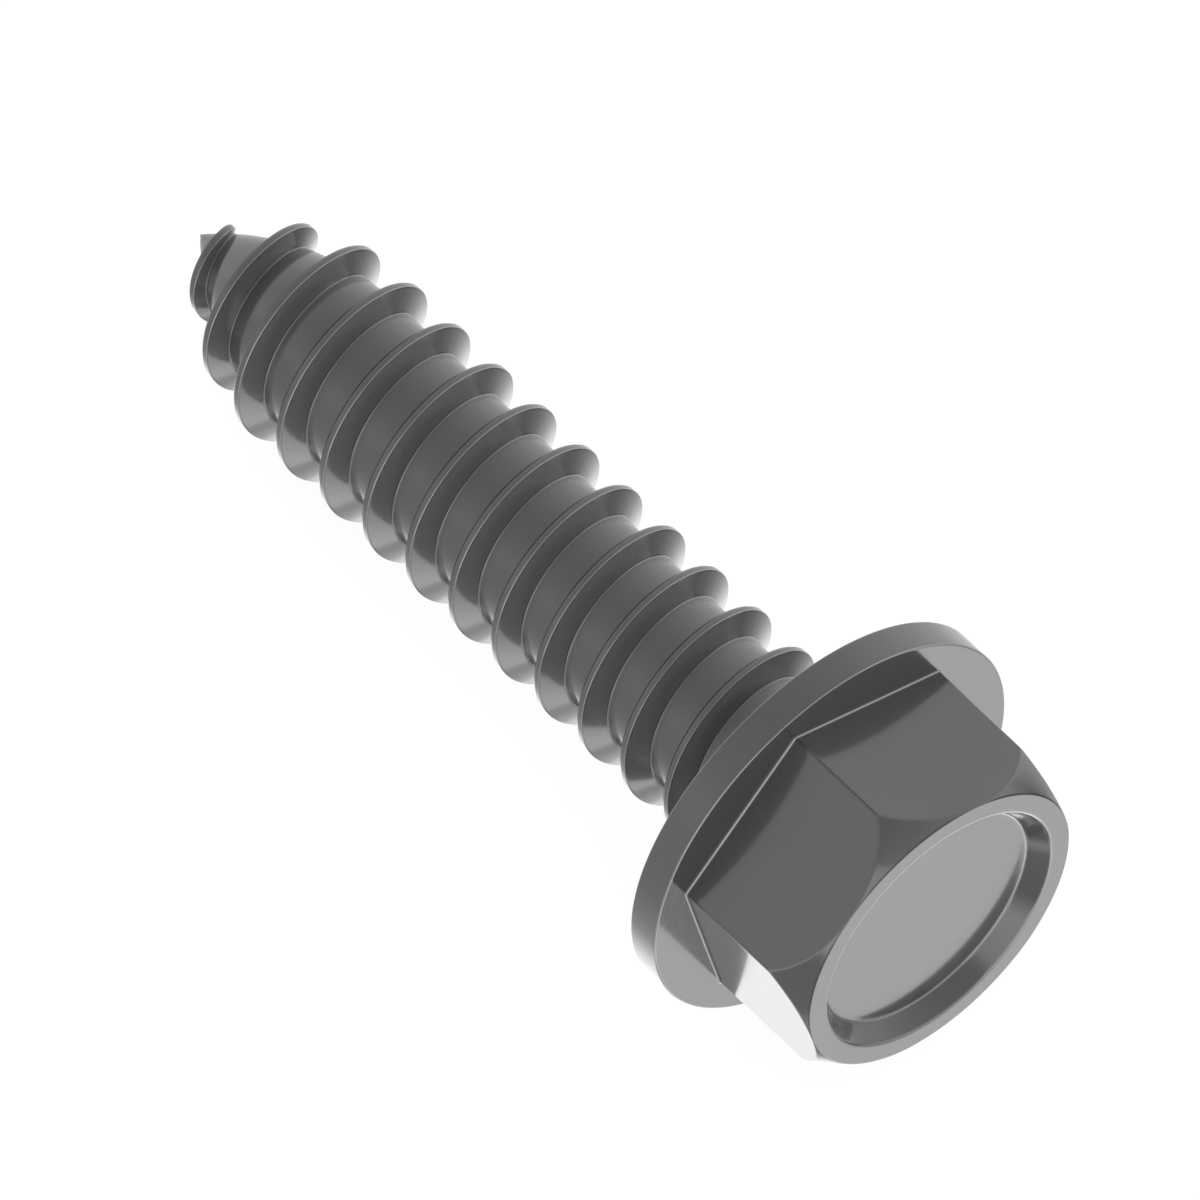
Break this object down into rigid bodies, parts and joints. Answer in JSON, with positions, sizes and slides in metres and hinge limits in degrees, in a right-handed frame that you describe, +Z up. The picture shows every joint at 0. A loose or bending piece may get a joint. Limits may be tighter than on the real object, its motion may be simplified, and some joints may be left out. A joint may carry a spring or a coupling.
{
  "type": "hex flange self-tapping screw",
  "caption": "Self-tapping screw with a hexagon head, dished at its end, on a round flange; a coarse spaced thread runs from the flange to a sharp point. Lies on its side.",
  "frame": {"origin": "centre of the flange's bearing face, on the screw's axis", "axes": "the screw's axis lies in the XZ plane, its head end towards +X and 9.23 degrees higher than its tip, which points towards -X; +Z is up"},
  "size_m": [0.0315, 0.0128, 0.0127],
  "materials": {
    "steel": "smooth satin grey metal"
  },
  "bodies": {
    "root": {"screw": "steel"}
  },
  "joints": []
}
